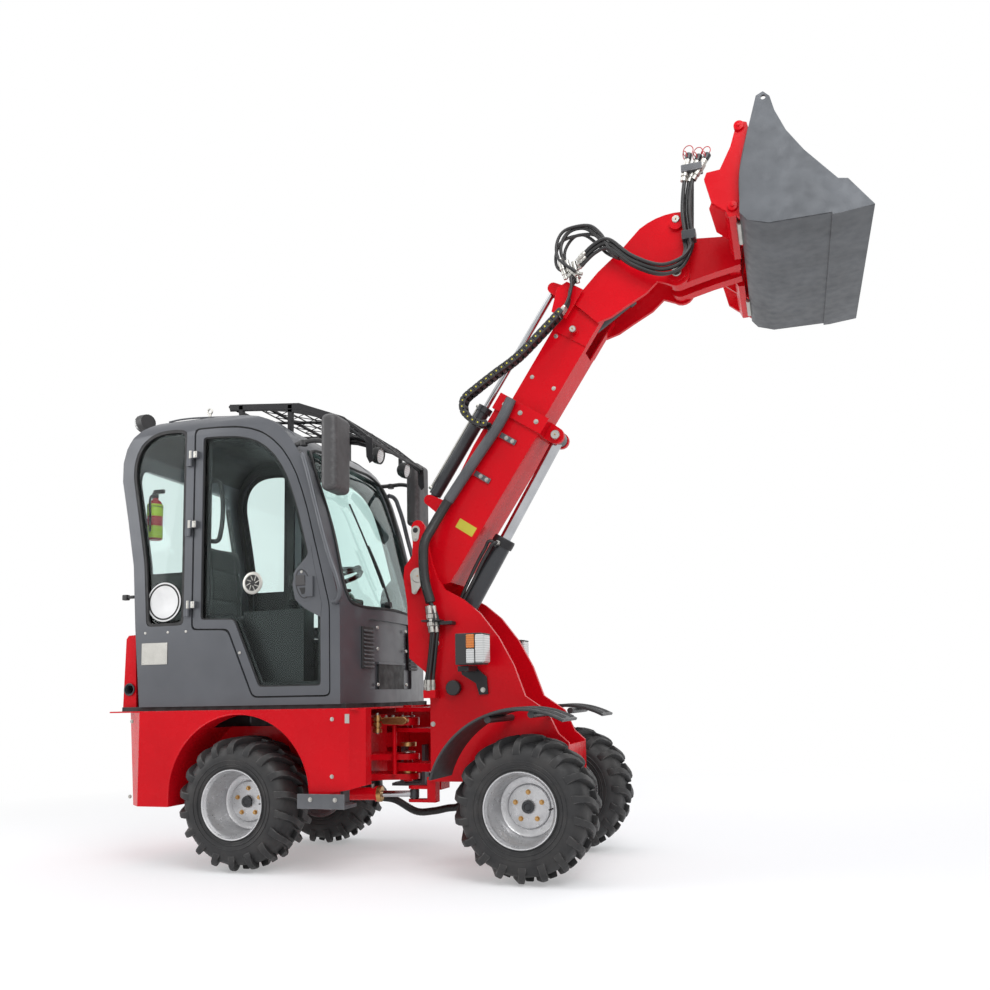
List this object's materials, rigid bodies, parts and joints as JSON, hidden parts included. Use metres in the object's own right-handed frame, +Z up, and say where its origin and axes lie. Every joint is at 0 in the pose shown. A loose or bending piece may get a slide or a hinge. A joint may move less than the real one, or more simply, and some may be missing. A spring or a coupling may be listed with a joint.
{
  "type": "compact articulated wheel loader with telescopic boom",
  "caption": "Compact articulated wheel loader with a cab at the rear, a raised telescopic boom and a wide bucket on a hitch frame.",
  "frame": {"origin": "bottom centre of the bounding box, on the ground", "axes": "+X forward towards the bucket, +Y to the machine's left, +Z up"},
  "size_m": [3.8816, 1.23, 3.431],
  "materials": {
    "red_paint": "gloss",
    "grey_paint": "metallic satin",
    "bucket_steel": "satin",
    "step_steel": "matte",
    "black_plastic": "matte",
    "black_steel": "satin",
    "rubber_hose": "satin",
    "tyre_rubber": "matte",
    "rim_steel": "satin",
    "tinted_glass": "clear",
    "chrome_rod": "polished",
    "seat_vinyl": "matte",
    "engine_metal": "matte"
  },
  "bodies": {
    "rear_machine": {"rear_frame": "red_paint", "rear_body": "red_paint", "rear_axle": "black_steel", "engine_block": "engine_metal", "step_left": "step_steel", "step_right": "step_steel", "cab_shell": "grey_paint", "windscreen": "tinted_glass", "rear_window": "tinted_glass", "front_panel": "black_plastic", "quarter_glass_left": "tinted_glass", "quarter_glass_right": "tinted_glass", "engine_cover": "black_plastic", "seat_base": "black_plastic", "seat_cushion": "seat_vinyl", "seat_back": "seat_vinyl", "steering_column": "black_plastic", "side_console": "black_plastic", "roof_guard": "black_steel", "mirror_left": "black_plastic", "mirror_right": "black_plastic", "rear_work_lamp": "black_plastic", "articulation_hose": "rubber_hose"},
    "engine_hood": {"engine_hood": "red_paint"},
    "door_left": {"door_left": "grey_paint", "door_glass_left": "tinted_glass"},
    "door_right": {"door_right": "grey_paint", "door_glass_right": "tinted_glass"},
    "rear_left_wheel": {"rear_left_tyre": "tyre_rubber", "rear_left_rim": "rim_steel"},
    "rear_right_wheel": {"rear_right_tyre": "tyre_rubber", "rear_right_rim": "rim_steel"},
    "steering_barrel": {"steering_barrel": "red_paint"},
    "steering_rod": {"steering_rod": "chrome_rod"},
    "front_machine": {"front_frame": "red_paint", "front_axle": "black_steel", "front_fender_left": "black_plastic", "front_fender_right": "black_plastic", "headlight_left": "black_plastic", "headlight_right": "black_plastic", "tower_hoses": "rubber_hose"},
    "front_left_wheel": {"front_left_tyre": "tyre_rubber", "front_left_rim": "rim_steel"},
    "front_right_wheel": {"front_right_tyre": "tyre_rubber", "front_right_rim": "rim_steel"},
    "boom": {"boom_outer": "red_paint", "extension_barrel": "grey_paint", "hose_chain": "black_plastic", "boom_hoses": "rubber_hose"},
    "lift_barrel": {"lift_barrel": "black_steel"},
    "lift_rod": {"lift_rod": "chrome_rod"},
    "boom_extension": {"boom_inner": "red_paint", "extension_rod": "chrome_rod", "head_hoses": "rubber_hose"},
    "tilt_barrel": {"tilt_barrel": "black_steel"},
    "tilt_rod": {"tilt_rod": "chrome_rod"},
    "tool": {"hitch": "red_paint", "bucket": "bucket_steel"}
  },
  "joints": [
    {"name": "steering", "type": "hinge", "parent": "rear_machine", "child": "front_machine", "pos_m": [-0.44719, 0, 0.56], "axis": [0, 0, 1], "range_deg": [-38, 38]},
    {"name": "front_left_wheel_spin", "type": "hinge", "parent": "front_machine", "child": "front_left_wheel", "pos_m": [0.33281, 0.433, 0.33], "axis": [0, 1, 0], "continuous": true},
    {"name": "front_right_wheel_spin", "type": "hinge", "parent": "front_machine", "child": "front_right_wheel", "pos_m": [0.33281, -0.433, 0.33], "axis": [0, 1, 0], "continuous": true},
    {"name": "rear_left_wheel_spin", "type": "hinge", "parent": "rear_machine", "child": "rear_left_wheel", "pos_m": [-1.13919, 0.433, 0.33], "axis": [0, 1, 0], "continuous": true},
    {"name": "rear_right_wheel_spin", "type": "hinge", "parent": "rear_machine", "child": "rear_right_wheel", "pos_m": [-1.13919, -0.433, 0.33], "axis": [0, 1, 0], "continuous": true},
    {"name": "door_left_swing", "type": "hinge", "parent": "rear_machine", "child": "door_left", "pos_m": [-1.43719, 0.535, 1.33], "axis": [0, 0, 1], "range_deg": [0, 95]},
    {"name": "door_right_swing", "type": "hinge", "parent": "rear_machine", "child": "door_right", "pos_m": [-1.43719, -0.535, 1.33], "axis": [0, 0, -1], "range_deg": [0, 95]},
    {"name": "engine_hood_lift", "type": "hinge", "parent": "rear_machine", "child": "engine_hood", "pos_m": [-1.80519, 0, 1.203], "axis": [0, 1, 0], "range_deg": [0, 60]},
    {"name": "boom_lift", "type": "hinge", "parent": "front_machine", "child": "boom", "pos_m": [-0.29419, 0, 1.453], "axis": [0, -1, 0], "range_deg": [-97.5, 2]},
    {"name": "boom_extend", "type": "slide", "parent": "boom", "child": "boom_extension", "axis": [0.5519, 0, 0.8339], "range_m": [-0.27, 0]},
    {"name": "bucket_tilt", "type": "hinge", "parent": "boom_extension", "child": "tool", "pos_m": [1.06981, 0, 2.895], "axis": [0, 1, 0], "range_deg": [-97.5, 40]},
    {"name": "lift_barrel_swing", "type": "hinge", "parent": "front_machine", "child": "lift_barrel", "pos_m": [-0.21289, 0, 1.107], "axis": [0, -1, 0], "range_deg": [-105, 4]},
    {"name": "lift_rod_slide", "type": "slide", "parent": "lift_barrel", "child": "lift_rod", "axis": [0.5148, 0, 0.8573], "range_m": [-0.56, 0.02]},
    {"name": "tilt_barrel_swing", "type": "hinge", "parent": "boom_extension", "child": "tilt_barrel", "pos_m": [0.53852, 0, 2.67666], "axis": [0, 1, 0], "range_deg": [-8, 4]},
    {"name": "tilt_rod_slide", "type": "slide", "parent": "tilt_barrel", "child": "tilt_rod", "axis": [0.8307, 0, 0.5566], "range_m": [-0.22, 0.1]},
    {"name": "steering_barrel_swing", "type": "hinge", "parent": "rear_machine", "child": "steering_barrel", "pos_m": [-0.79719, -0.215, 0.35], "axis": [0, 0, 1], "range_deg": [-8, 8]},
    {"name": "steering_rod_slide", "type": "slide", "parent": "steering_barrel", "child": "steering_rod", "axis": [0.9897, 0.143, 0], "range_m": [-0.12, 0.12]}
  ],
  "couplings": [
    {"joint": "lift_barrel_swing", "follows": "boom_lift", "ratio": 1.0234},
    {"joint": "lift_rod_slide", "follows": "boom_lift", "m_per_rad": 0.3133},
    {"joint": "tilt_barrel_swing", "follows": "bucket_tilt", "ratio": 0.05},
    {"joint": "tilt_rod_slide", "follows": "bucket_tilt", "m_per_rad": 0.116},
    {"joint": "steering_barrel_swing", "follows": "steering", "ratio": 0.143},
    {"joint": "steering_rod_slide", "follows": "steering", "m_per_rad": 0.1557}
  ]
}
